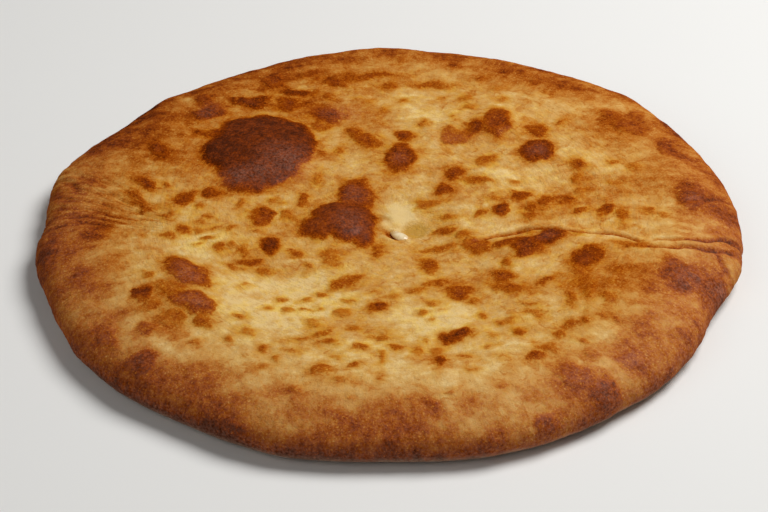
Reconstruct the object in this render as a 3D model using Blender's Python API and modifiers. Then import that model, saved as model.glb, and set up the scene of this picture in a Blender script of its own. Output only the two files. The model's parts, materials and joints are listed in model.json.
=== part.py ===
"""Imeruli khachapuri: a round, shut cheese bread, baked whole and lying flat on its base.

The crust is one solid. It is turned from half of its cross-section, and its points are then moved
by a few named features: the swells of the hand-shaped edge, the pillows and hollows of the top, the
blisters that the oven raised, and the fold that runs out from beside the centre to the edge. A steam
vent torn at the centre is cut into it, and the little cheese that shows there is a solid of its own.

Metres, +Z up. The origin is at the middle of the base, and the fold runs out towards +X.
"""

import math

import bpy

MM = 0.001

# The bread as a turned shape.
RADIUS = 139.5 * MM  # mean radius of the edge at its widest line
CENTRE_HEIGHT = 17.5 * MM
SHOULDER_RADIUS = 109 * MM  # from here the top rolls down to the edge
SHOULDER_HEIGHT = 19.5 * MM
EDGE_HEIGHT = 7.0 * MM  # height of the widest line above the table
FOOT_INSET = 8.0 * MM  # how far inside the widest line the flat base ends

# How finely the turned shape is divided.
STEPS_ROUND = 96
TOP_RINGS = 21
SHOULDER_RINGS = 9
UNDER_RINGS = 4
BASE_RINGS = 5
SHOULDER_ROUNDNESS = 2.15  # 2 is an ellipse, and more is a fuller roll

# Where the hand-shaped edge swells (+) or is drawn in (-): bearing and spread in degrees, reach in mm.
EDGE_SWELLS = (
    (12, 20, 1.4),
    (44, 9, 3.6),
    (74, 12, -1.4),
    (93, 5, 1.6),
    (122, 14, -3.8),
    (148, 5, -2.4),
    (165, 8, 5.0),
    (187, 8, 3.8),
    (218, 19, 4.4),
    (252, 12, 3.8),
    (288, 15, 2.6),
    (337, 9, -4.0),
    (349, 4, 1.0),
)

# Pillows (+) and hollows (-) of the top: x, y, length, width, turn in degrees, height. All in mm.
PILLOWS = (
    (80, -56, 110, 70, -8, 2.4),  # air pocket on the near side of the fold
    (-80, -56, 62, 46, -38, 2.2),
    (-94, 54, 70, 60, 30, 1.4),
    (46, 70, 92, 46, 14, 1.4),
    (-6, -112, 120, 40, 0, 1.2),
    (120, 20, 44, 50, 0, 1.2),
    (6, -6, 60, 60, 0, -2.4),  # the centre, drawn down round the vent
    (-34, -54, 78, 44, -20, -1.8),
    (-112, 2, 60, 26, -12, -1.4),  # drawn-in stretch that wrinkles towards the left edge
    (72, 18, 70, 30, -6, -1.3),
    (12, 90, 60, 40, 0, -1.0),
    (20, -88, 84, 30, 8, -0.9),
)

# Blisters, which rise with a firmer edge than a pillow: the same six values.
BLISTERS = (
    (-54, 42, 50, 54, 12, 3.0),
    (-20, -5, 34, 34, 0, 2.4),
    (-14, 16, 18, 18, 0, 1.4),
    (-77, -46, 30, 17, -38, 1.6),
    (-73, -66, 22, 18, -30, 1.3),
    (43, 62, 28, 18, 20, 1.5),
    (60, 45, 17, 18, 0, 1.3),
    (4, 40, 19, 22, 0, 1.4),
    (121, 9, 22, 20, 0, 1.3),
    (76, -110, 22, 28, -12, 1.3),
    (-94, -96, 34, 28, 30, 1.2),
    (27, -83, 15, 11, 0, 1.0),
)

# The fold: a line across the top, with the dough piled up along its near side.
FOLD_MIDDLE_X = 64 * MM  # where the line bows furthest away from the straight
FOLD_MIDDLE_Y = -17 * MM
FOLD_SLOPE = -0.05  # of the straight that it follows
FOLD_BOW = 7.5 * MM
FOLD_BOW_SPREAD_IN = 12 * MM  # on the side of the centre
FOLD_BOW_SPREAD_OUT = 20 * MM  # on the side of the edge
FOLD_START_X = 28 * MM
FOLD_FULL_X = 52 * MM
FOLD_WANES_X = 98 * MM
FOLD_END_X = 122 * MM
FOLD_END_SHARE = 0.5  # of its height that is left at the edge
FOLD_RISE = 3.0 * MM  # height of its crest over the top
FOLD_CREST = 5.5 * MM  # distance from the line to the crest
FOLD_FADE = 26 * MM  # distance over which the piled dough dies away
FOLD_DIP = 1.2 * MM  # depth of the groove along the line
FOLD_DIP_SPREAD = 4 * MM

# The steam vent torn at the centre, and the cheese in it.
VENT_X = 9 * MM
VENT_Y = -8 * MM
VENT_LENGTH = 14 * MM
VENT_WIDTH = 11 * MM
VENT_DEPTH = 5 * MM  # of the pocket below the crust round it
VENT_TURN = math.radians(-24)
CHEESE_SINK = 1.4 * MM  # how far the cheese lies below the crust round it
GAP = 0.3 * MM  # between the cheese and the crust

CRUST_COLOUR = (0.48, 0.20, 0.05, 1)
CHEESE_COLOUR = (0.60, 0.42, 0.14, 1)


def smooth_step(value, low, high):
    """0 below low, 1 above high, and an even rise between them."""
    t = min(max((value - low) / (high - low), 0), 1)
    return t * t * (3 - 2 * t)


def clear_scene():
    """Removes every object that the scene starts with."""
    for old in list(bpy.data.objects):
        bpy.data.objects.remove(old)


def new_collection(name):
    """A collection of that name under the scene's own."""
    made = bpy.data.collections.new(name)
    bpy.context.scene.collection.children.link(made)
    return made


def new_material(name, colour, roughness):
    """A plain Principled material."""
    made = bpy.data.materials.new(name)
    made.use_nodes = True
    shader = made.node_tree.nodes["Principled BSDF"]
    shader.inputs["Base Color"].default_value = colour
    shader.inputs["Roughness"].default_value = roughness
    shader.inputs["Metallic"].default_value = 0
    return made


def top_profile():
    """Distance from the axis and height along the top, from the centre to the shoulder."""
    points = []
    for ring in range(TOP_RINGS):
        share = ring / TOP_RINGS
        lift = smooth_step(share, 0.15, 0.95)
        height = CENTRE_HEIGHT + (SHOULDER_HEIGHT - CENTRE_HEIGHT) * lift
        points.append((share * SHOULDER_RADIUS, height))
    return points


def shoulder_profile():
    """The roll from the shoulder down to the widest line."""
    points = []
    for ring in range(SHOULDER_RINGS + 1):
        angle = math.pi / 2 * ring / SHOULDER_RINGS
        out = math.sin(angle) ** (2 / SHOULDER_ROUNDNESS)
        up = math.cos(angle) ** (2 / SHOULDER_ROUNDNESS)
        radius = SHOULDER_RADIUS + (RADIUS - SHOULDER_RADIUS) * out
        points.append((radius, EDGE_HEIGHT + (SHOULDER_HEIGHT - EDGE_HEIGHT) * up))
    return points


def under_profile():
    """The edge tucked in below the widest line, and the flat base back to the axis."""
    points = []
    for ring in range(1, UNDER_RINGS + 1):
        angle = math.pi / 2 * ring / UNDER_RINGS
        inset = FOOT_INSET * (1 - math.cos(angle))
        points.append((RADIUS - inset, EDGE_HEIGHT * (1 - math.sin(angle))))
    foot = RADIUS - FOOT_INSET
    for ring in range(1, BASE_RINGS + 1):
        points.append((foot * (1 - ring / BASE_RINGS), 0))
    return points


def turned_crust():
    """The crust before its features: half of its cross-section turned about Z by a Screw modifier."""
    profile = top_profile() + shoulder_profile() + under_profile()
    mesh = bpy.data.meshes.new("crust_profile")
    edges = [(i, i + 1) for i in range(len(profile) - 1)]
    mesh.from_pydata([(r, 0, z) for r, z in profile], edges, [])
    guide = bpy.data.objects.new("crust_profile", mesh)
    bpy.context.scene.collection.objects.link(guide)
    screw = guide.modifiers.new("turn", "SCREW")
    screw.axis = "Z"
    screw.steps = STEPS_ROUND
    screw.render_steps = STEPS_ROUND
    screw.use_merge_vertices = True
    screw.merge_threshold = 0.05 * MM
    graph = bpy.context.evaluated_depsgraph_get()
    turned = bpy.data.meshes.new_from_object(guide.evaluated_get(graph))
    bpy.data.objects.remove(guide)
    return turned


def edge_swell(bearing):
    """How far the edge stands out (+) or in (-) of RADIUS at a bearing in degrees."""
    total = 0
    for middle, spread, reach in EDGE_SWELLS:
        away = (bearing - middle + 180) % 360 - 180
        total += reach * MM * math.exp(-((away / spread) ** 2))
    return total


def dome(x, y, feature, firmness):
    """Height that one pillow or blister adds at (x, y). A firmer one has a flatter top and a steeper side."""
    middle_x, middle_y, length, width, turn, height = feature
    away_x = x / MM - middle_x
    away_y = y / MM - middle_y
    cos, sin = math.cos(math.radians(turn)), math.sin(math.radians(turn))
    along = (away_x * cos + away_y * sin) / (length / 2)
    across = (away_y * cos - away_x * sin) / (width / 2)
    share = min(math.hypot(along, across), 1)
    return height * MM * (1 - share**firmness) ** 2


def fold_line(x):
    """Where the fold runs: its y at x."""
    from_middle = x - FOLD_MIDDLE_X
    spread = FOLD_BOW_SPREAD_IN if from_middle < 0 else FOLD_BOW_SPREAD_OUT
    bow = FOLD_BOW * math.exp(-((from_middle / spread) ** 2))
    return FOLD_MIDDLE_Y + FOLD_SLOPE * from_middle + bow


def fold_height(x, y):
    """Height that the fold adds: a groove along its line, and a crest piled up on its near side."""
    waned = (1 - FOLD_END_SHARE) * smooth_step(x, FOLD_WANES_X, FOLD_END_X)
    strength = smooth_step(x, FOLD_START_X, FOLD_FULL_X) - waned
    near = fold_line(x) - y
    groove = -FOLD_DIP * math.exp(-((near / FOLD_DIP_SPREAD) ** 2))
    if near <= 0:
        return strength * groove
    crest = smooth_step(near, 0, FOLD_CREST)
    fade = 1 - smooth_step(near, FOLD_CREST, FOLD_CREST + FOLD_FADE)
    return strength * (groove + FOLD_RISE * crest * fade)


def relief(x, y):
    """What all the features of the top add to its height at (x, y)."""
    pillows = sum(dome(x, y, pillow, 2) for pillow in PILLOWS)
    blisters = sum(dome(x, y, blister, 3) for blister in BLISTERS)
    return pillows + blisters + fold_height(x, y)


def shape_by_hand(mesh):
    """Moves the turned points: the edge out or in, and the top up or down."""
    for vertex in mesh.vertices:
        x, y, z = vertex.co
        radius = math.hypot(x, y)
        bearing = math.degrees(math.atan2(y, x))
        if radius:
            out = 1 + edge_swell(bearing) * (radius / RADIUS) ** 3 / radius
            x, y = x * out, y * out
        on_top = smooth_step(z, EDGE_HEIGHT, SHOULDER_HEIGHT - 3 * MM)
        vertex.co = (x, y, z + on_top * relief(x, y))


def centre_on_base(mesh):
    """Puts the origin at the middle of the base, and returns how far the mesh was moved."""
    xs = [vertex.co.x for vertex in mesh.vertices]
    ys = [vertex.co.y for vertex in mesh.vertices]
    shift = (-(min(xs) + max(xs)) / 2, -(min(ys) + max(ys)) / 2)
    for vertex in mesh.vertices:
        vertex.co.x += shift[0]
        vertex.co.y += shift[1]
    return shift


def egg(name, centre, size):
    """A ball of that size, turned as the vent is, with its scale applied."""
    bpy.ops.mesh.primitive_uv_sphere_add(segments=24, ring_count=12, radius=0.5)
    made = bpy.context.object
    made.name = name
    made.scale = size
    bpy.ops.object.transform_apply(location=False, rotation=False, scale=True)
    made.location = centre
    made.rotation_euler = (0, 0, VENT_TURN)
    return made


def subtract(target, cutter):
    """Cuts cutter out of target with an exact Boolean, which stays on target."""
    cut = target.modifiers.new("cut_" + cutter.name, "BOOLEAN")
    cut.operation = "DIFFERENCE"
    cut.solver = "EXACT"
    cut.object = cutter


def move_to(collection, made):
    """Takes an object out of its collections and puts it in this one."""
    for old in list(made.users_collection):
        old.objects.unlink(made)
    collection.objects.link(made)


def make_helper(collection, made):
    """Files a cutter away, out of the render."""
    move_to(collection, made)
    made.hide_render = True
    made.display_type = "WIRE"


def crust(parts):
    """The bread itself, shaped and centred. Returns it and the place of the vent's rim."""
    mesh = turned_crust()
    shape_by_hand(mesh)
    shift = centre_on_base(mesh)
    mesh.name = "crust"
    mesh.shade_smooth()
    made = bpy.data.objects.new("crust", mesh)
    parts.objects.link(made)
    made.data.materials.append(new_material("crust", CRUST_COLOUR, 0.55))
    rim_height = CENTRE_HEIGHT + relief(VENT_X, VENT_Y)
    return made, (VENT_X + shift[0], VENT_Y + shift[1], rim_height)


def vent(made_crust, rim, helpers):
    """Cuts the vent's pocket: a bowl with its middle level with the crust round it."""
    pocket = egg("vent_pocket", rim, (VENT_LENGTH, VENT_WIDTH, 2 * VENT_DEPTH))
    subtract(made_crust, pocket)
    make_helper(helpers, pocket)


def vent_cheese(rim, parts, helpers):
    """The cheese that shows in the vent: the bottom of the pocket filled, a gap away from its wall."""
    inner = (VENT_LENGTH - 2 * GAP, VENT_WIDTH - 2 * GAP, 2 * (VENT_DEPTH - GAP))
    made = egg("vent_cheese", rim, inner)
    move_to(parts, made)
    made.data.shade_smooth()
    made.data.materials.append(new_material("cheese", CHEESE_COLOUR, 0.35))
    lid = egg("vent_lid", (rim[0], rim[1], rim[2] - CHEESE_SINK + VENT_DEPTH), (1, 1, 1))
    lid.scale = (4 * VENT_LENGTH, 4 * VENT_WIDTH, 2 * VENT_DEPTH)
    subtract(made, lid)
    make_helper(helpers, lid)


def main():
    clear_scene()
    parts = new_collection("imeruli_khachapuri")
    helpers = new_collection("cutters")
    made_crust, rim = crust(parts)
    vent(made_crust, rim, helpers)
    vent_cheese(rim, parts, helpers)


main()
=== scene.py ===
# %% [markdown]
# # An imeruli khachapuri, baked and ready to cut
# Imeruli khachapuri is a round bread from the west of Georgia. A ball of soft dough is folded round
# grated cheese, pressed flat by hand and baked until its top blisters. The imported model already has
# the true size, the hand-shaped edge and the fold, but its surface is coarse. This lesson gives it a
# fine skin, bakes it in colour, and adds the cheese that shows through the steam vent.

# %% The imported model, and how large it is
import json
import math

import bpy
import numpy as np
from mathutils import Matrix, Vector, noise

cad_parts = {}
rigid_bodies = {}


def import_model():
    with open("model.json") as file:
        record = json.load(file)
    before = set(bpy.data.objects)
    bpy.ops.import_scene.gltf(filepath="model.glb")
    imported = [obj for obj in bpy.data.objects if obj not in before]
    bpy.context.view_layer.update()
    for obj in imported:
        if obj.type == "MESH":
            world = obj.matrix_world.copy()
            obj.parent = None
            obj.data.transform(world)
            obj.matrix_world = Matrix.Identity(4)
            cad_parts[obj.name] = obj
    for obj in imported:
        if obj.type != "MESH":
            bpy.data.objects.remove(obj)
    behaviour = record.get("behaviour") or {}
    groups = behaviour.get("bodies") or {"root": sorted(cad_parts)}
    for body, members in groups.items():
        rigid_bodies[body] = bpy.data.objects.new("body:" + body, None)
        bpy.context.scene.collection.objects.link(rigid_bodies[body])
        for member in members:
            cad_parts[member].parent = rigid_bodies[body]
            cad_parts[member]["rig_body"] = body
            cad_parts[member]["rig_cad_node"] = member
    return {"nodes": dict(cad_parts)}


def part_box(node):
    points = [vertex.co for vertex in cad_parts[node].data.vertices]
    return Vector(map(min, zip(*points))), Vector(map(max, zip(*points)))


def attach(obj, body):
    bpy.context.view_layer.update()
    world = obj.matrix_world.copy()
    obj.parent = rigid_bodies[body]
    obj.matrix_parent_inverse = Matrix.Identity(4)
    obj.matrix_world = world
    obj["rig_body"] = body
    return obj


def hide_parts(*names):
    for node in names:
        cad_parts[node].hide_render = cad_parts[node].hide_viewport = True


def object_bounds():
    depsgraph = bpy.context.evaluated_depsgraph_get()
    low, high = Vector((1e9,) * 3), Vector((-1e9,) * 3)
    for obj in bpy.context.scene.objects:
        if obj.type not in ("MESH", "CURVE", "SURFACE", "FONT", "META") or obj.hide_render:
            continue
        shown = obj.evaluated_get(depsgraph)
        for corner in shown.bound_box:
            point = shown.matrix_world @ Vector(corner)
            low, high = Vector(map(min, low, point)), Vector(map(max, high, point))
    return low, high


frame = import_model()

MM = 0.001
cad_low, cad_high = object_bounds()
bread_middle = (cad_low + cad_high) / 2
print("bread:", [round(v / MM, 1) for v in cad_high - cad_low], "mm")

# %% [markdown]
# ## Where the bread is seen from, and the light
# A dish on a table is looked at from a chair: from about 35 degrees above, and a little over a metre
# away. A camera could be turned by hand until the view looks right, but here its direction is worked
# out from the point that it looks at, so that it can be moved without losing the bread. The light of
# a window is copied by one large soft lamp, high on the right and a little behind, with a weak one
# opposite, and a pale room all round.

# %% A helper that points a lamp or a camera at a place
def look_at(thing, place):
    """Turns an object so that its -Z axis points at the place."""
    thing.rotation_euler = (place - thing.location).to_track_quat("-Z", "Y").to_euler()


# %% The camera
CAMERA_ABOVE = math.radians(35)
CAMERA_AWAY = 1.12
AIM = Vector((-2.3 * MM, -18.2 * MM, 10 * MM))

bpy.ops.object.camera_add()
camera = bpy.context.object
camera.name = "camera"
camera.data.sensor_width = 36
camera.data.lens = 132.75
camera.location = AIM + CAMERA_AWAY * Vector((0, -math.cos(CAMERA_ABOVE), math.sin(CAMERA_ABOVE)))
look_at(camera, AIM)
bpy.context.scene.camera = camera
bpy.context.scene.view_settings.view_transform = "Standard"
print("camera at", [round(v, 3) for v in camera.location])

# %% The window light, the weak light opposite, and the pale room
LIGHTS = {
    # where it stands, how wide it is, and its power in watts
    "window": ((0.68, 0.30, 1.10), 0.80, 18.5),
    "room_side": ((-0.9, -0.9, 1.0), 1.4, 4.5),
}
for name, (place, width, power) in LIGHTS.items():
    bpy.ops.object.light_add(type="AREA", location=place)
    lamp = bpy.context.object
    lamp.name = name
    lamp.data.shape = "DISK"
    lamp.data.size = width
    lamp.data.energy = power
    look_at(lamp, bread_middle)

room = bpy.data.worlds.new("room")
room.use_nodes = True
room.node_tree.nodes["Background"].inputs["Color"].default_value = (1.0, 0.98, 0.95, 1)
room.node_tree.nodes["Background"].inputs["Strength"].default_value = 0.10
bpy.context.scene.world = room
print(len(LIGHTS), "lamps")

# %% [markdown]
# ## Small helpers for work by hand
# An operator works on whatever is selected, and loading the model leaves all of it selected. So each
# step starts from a clean selection. The helpers below do what a modeller does over and over: pick
# one object, pick some of its faces by where they are, and add a modifier and apply it at once.

# %% Selecting, and modifiers that are applied at once
def pick(piece):
    """Makes this the only selected object, and the active one."""
    bpy.ops.object.select_all(action="DESELECT")
    piece.select_set(True)
    bpy.context.view_layer.objects.active = piece


def pick_faces(piece, test):
    """Selects the faces that pass the test, and goes into edit mode."""
    pick(piece)
    bpy.ops.object.mode_set(mode="EDIT")
    bpy.ops.mesh.select_mode(type="FACE")
    bpy.ops.mesh.select_all(action="DESELECT")
    bpy.ops.object.mode_set(mode="OBJECT")
    for face in piece.data.polygons:
        face.select = test(face)
    bpy.ops.object.mode_set(mode="EDIT")


def modify(piece, kind, **settings):
    """Adds a modifier with these settings and applies it."""
    pick(piece)
    made = piece.modifiers.new(kind.lower(), kind)
    for name, value in settings.items():
        setattr(made, name, value)
    bpy.ops.object.modifier_apply(modifier=made.name)


# %% [markdown]
# ## The crust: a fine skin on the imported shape
# The bread is one piece of dough, so its skin is one closed surface. It could be sculpted from a
# sphere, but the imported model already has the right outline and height, so the skin starts as a copy
# of it. The copy's corners are merged, its triangles are joined to quads, and a subdivision surface
# rounds it. Then a voxel remesh gives faces of one size everywhere, which is what a rough baked
# surface needs. Only the flat base, which rests on the table, is left with few faces.

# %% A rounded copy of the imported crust
VOXEL = 1.95 * MM  # the size of the faces before the top is divided once more

packed_crust = frame["nodes"]["crust"]
pick(packed_crust)
bpy.ops.object.duplicate()
crust = bpy.context.object
crust.name = "baked_crust"
crust.parent = None
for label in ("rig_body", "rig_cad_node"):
    del crust[label]
crust.data.materials.clear()

bpy.ops.object.mode_set(mode="EDIT")
bpy.ops.mesh.select_all(action="SELECT")
bpy.ops.mesh.remove_doubles(threshold=0.01 * MM)
bpy.ops.mesh.tris_convert_to_quads()
bpy.ops.object.mode_set(mode="OBJECT")
modify(crust, "SUBSURF", levels=2, render_levels=2)
modify(crust, "REMESH", mode="VOXEL", voxel_size=VOXEL)
print("remeshed:", len(crust.data.polygons), "faces")

# %% Smooth it, divide the skin, and leave the base plain
BASE_LEVEL = 0.6 * MM  # what lies below this and faces down rests on the table


def is_base(face):
    return face.center.z < BASE_LEVEL and face.normal.z < -0.9


pick_faces(crust, lambda face: not is_base(face))
bpy.ops.mesh.vertices_smooth(factor=0.5, repeat=6)
bpy.ops.mesh.subdivide(number_cuts=1)
bpy.ops.mesh.vertices_smooth(factor=0.5, repeat=3)
bpy.ops.object.mode_set(mode="OBJECT")
pick_faces(crust, is_base)
bpy.ops.transform.resize(value=(1, 1, 0), center_override=(0, 0, 0))
bpy.ops.mesh.dissolve_limited(angle_limit=math.radians(2))
bpy.ops.object.mode_set(mode="OBJECT")
print("skin:", len(crust.data.polygons), "faces,", len(crust.data.vertices), "corners")

# %% [markdown]
# ## Fields: one number for each corner of the skin
# Where the skin is browned, blistered or wrinkled could be painted by hand with a brush. A brush
# stroke cannot be changed later, so here each effect is a field instead: a list with one number for
# each corner, worked out from where the corner lies. All places are in millimetres, with x to the
# right, y away from the camera, and the origin at the middle of the base.

# %% The corners in millimetres, and the tools that fields are made with
def corners(piece):
    """Where each corner is, in millimetres, as three columns."""
    flat = np.empty(len(piece.data.vertices) * 3, np.float32)
    piece.data.vertices.foreach_get("co", flat)
    return flat.reshape(-1, 3).astype(float) / MM


def smooth_step(value, low, high):
    """0 below low, 1 above high, and an even rise between them."""
    t = np.clip((value - low) / (high - low), 0, 1)
    return t * t * (3 - 2 * t)


def lumps(points, size, seed):
    """Smooth noise with lumps of this size: three columns of numbers from about -1 to 1."""
    offset = Vector((seed * 7.3, seed * 3.1, seed * 5.7))
    return np.array([noise.noise_vector(Vector(point) / size + offset) for point in points])


def inside(x, y, oval):
    """How far inside an oval each point lies, in mm. Outside it the number is negative."""
    middle_x, middle_y, length, width, turn = oval
    cos, sin = math.cos(math.radians(turn)), math.sin(math.radians(turn))
    along = ((x - middle_x) * cos + (y - middle_y) * sin) / (length / 2)
    across = ((y - middle_y) * cos - (x - middle_x) * sin) / (width / 2)
    return (1 - np.hypot(along, across)) * min(length, width) / 2


noise.seed_set(11)  # the same noise each time that the lesson is run
skin = corners(crust)
wander = 3.6 * lumps(skin, 10, 1) + 1.2 * lumps(skin, 3.6, 2)
x, y, z = skin.T
warped_x, warped_y = x + wander[:, 0], y + wander[:, 1]
print("corners:", len(skin))

# %% [markdown]
# ## Where the oven browned it
# Heat reaches a bread unevenly. The rim stands free and browns first, thin places browned over a
# bubble go nearly black, and the dough that sank stays the colour of cream. The toast field runs
# from 0, raw cream, to 1, charred. First come the broad patches, as soft ovals that add or take away.

# %% The broad patches of toast
BASE_TOAST = 0.155
PATCHES = (
    # x, y, length, width, turn in degrees, toast added
    (-100, 70, 110, 90, 35, 0.27),
    (-30, 108, 120, 50, 0, 0.24),
    (-2, 122, 60, 26, 0, 0.12),
    (-30, 80, 60, 36, 0, 0.24),
    (-8, 69, 40, 30, 0, 0.30),
    (12, 76, 30, 20, 0, -0.12),
    (-6, 88, 30, 18, 0, 0.10),
    (28, 119, 40, 22, 0, 0.12),
    (58, 102, 80, 42, -20, 0.28),
    (90, 60, 54, 50, -30, 0.32),
    (77, 88, 40, 28, -40, 0.13),
    (50, 28, 50, 18, 0, -0.06),
    (32, -1, 34, 30, 0, -0.06),
    (74, 11, 50, 34, 0, 0.17),
    (108, 22, 48, 62, 0, 0.21),
    (90, -46, 90, 50, 0, 0.29),
    (66, -40, 44, 30, 0, -0.12),
    (34, -47, 70, 18, 0, 0.08),
    (80, -84, 36, 26, 0, -0.08),
    (84, -107, 36, 40, -45, -0.22),
    (45, -84, 50, 30, 0, -0.06),
    (52, -126, 56, 34, 15, -0.30),
    (25, -100, 110, 50, 10, -0.08),
    (16, -74, 60, 44, 0, -0.24),
    (-12, -92, 50, 34, 0, -0.14),
    (4, 2, 26, 44, 0, -0.16),
    (-28, -58, 50, 44, 0, -0.22),
    (-52, -64, 80, 60, -30, -0.24),
    (-74, -22, 50, 44, -30, -0.24),
    (-84, -60, 34, 44, -20, 0.06),
    (-43, -129, 50, 24, -15, -0.18),
    (-97, -84, 46, 32, -45, -0.36),
    (-113, -60, 40, 46, -30, -0.18),
    (-108, -8, 44, 60, 0, 0.12),
    (-91, 33, 44, 40, 0, 0.28),
    (-132, 34, 30, 40, 0, -0.16),
    (110, 80, 30, 30, 0, -0.22),
    (124, -58, 24, 40, 0, -0.03),
    (30, -131, 38, 24, 0, -0.28),
    (28, 14, 28, 22, 0, 0.18),
    (90, 18, 32, 26, 0, 0.16),
    (-55, 92, 34, 20, 0, 0.16),
    (21, -101, 32, 22, 0, 0.28),
    (16, -8, 18, 14, 0, -0.10),
    (-48, -3, 26, 16, 0, -0.12),
    (126, 51, 20, 26, 0, -0.10),
    (-84, 57, 22, 16, 0, 0.10),
    (-4, 94, 26, 14, 0, 0.10),
    (112, 38, 30, 30, 0, 0.08),
    (117, -8, 26, 26, 0, 0.08),
    (136, 2, 20, 26, 0, 0.15),
    (116, -4, 24, 18, 0, 0.09),
    (126, 51, 24, 20, 0, -0.07),
    (-44, 114, 28, 16, 0, -0.07),
    (-49, -2, 26, 20, 0, -0.07),
    (2, -78, 26, 18, 0, 0.07),
    (75, -41, 24, 16, 0, -0.07),
    (-121, -13, 18, 24, 0, -0.07),
    (136, -32, 20, 22, 0, -0.24),
    (-25, -41, 30, 18, 0, -0.15),
    (-86, 84, 36, 24, 20, -0.31),
    (-95, -45, 24, 24, 0, -0.08),
    (-26, 40, 22, 20, 0, 0.15),
    (58, 78, 28, 18, 0, 0.12),
    (-108, 84, 24, 18, 30, 0.40),
    (-103, 67, 24, 16, 30, -0.12),
    (-84, -93, 30, 20, -30, -0.20),
    (22, 36, 26, 20, 0, 0.14),
    (-99, -57, 24, 20, 0, -0.12),
    (-48, -58, 28, 18, 0, 0.24),
    (-37, -131, 32, 14, -10, -0.10),
    (86, 102, 30, 18, -40, -0.15),
    (76, -9, 28, 12, 0, 0.12),
    (-10, -99, 28, 18, 0, 0.10),
    (-126, -15, 22, 28, 0, -0.12),
    (-30, -137, 30, 14, 0, 0.08),
)
bearing = np.degrees(np.arctan2(y, x)) % 360
from_middle = np.hypot(x, y)
edge = np.array([from_middle[np.abs(bearing - b) < 2].max() for b in range(361)])
reach = from_middle / np.interp(bearing, range(361), edge)


def soft_oval(px, py, oval):
    """1 in the middle of an oval and 0 at its outline, with a soft slope between."""
    depth = inside(px, py, oval) / (min(oval[2], oval[3]) / 2)
    return smooth_step(depth, 0, 1)


toast = np.full(len(skin), BASE_TOAST)
for *oval, added in PATCHES:
    toast += added * soft_oval(warped_x, warped_y, oval)
left_side = np.exp(-(((bearing - 190) / 40) ** 2))
right_side = np.exp(-(((bearing - 330) / 40) ** 2))
far_left = np.exp(-(((bearing - 138) / 28) ** 2))
uneven_reach = reach + 0.02 * wander[:, 2] + 0.07 * left_side + 0.06 * far_left
toast += (0.40 - 0.05 * right_side - 0.10 * far_left) * smooth_step(uneven_reach, 0.77, 0.98)
# Low on the side the toast rises, a little all round and most at the front: painted shade on the lower
# side of the rim, which faces down, away from the light.
skirt = 1 - smooth_step(z, 3, 13)
front = np.exp(-(((bearing - 242) / 40) ** 2))
toast += (0.12 + 0.30 * front - 0.14 * far_left) * skirt
busy = np.maximum(soft_oval(x, y, (-66, 74, 150, 100, 20)), soft_oval(x, y, (56, 10, 120, 80, 0)))
drawn_out = skin * (0.75, 1.15, 1)
toast += 0.10 * lumps(drawn_out, 16, 3)[:, 0]
toast += (0.08 + 0.09 * busy) * lumps(drawn_out, 6.5, 4)[:, 0]
toast += (0.09 + 0.07 * busy) * lumps(drawn_out, 3.2, 8)[:, 0]
print("toast:", round(toast.min(), 2), "to", round(toast.max(), 2))

# %% [markdown]
# ## Blisters and leopard spots
# A spot is where a bubble lifted the dough towards the heat. The large ones are made of several
# ovals that run together, so that no outline is a plain oval. Each spot has its place, its size, its
# turn, and how dark it is. Those that a glance at the bread picks out are placed one by one, and small
# freckles are then scattered between them, by a random draw with a fixed start.

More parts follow.
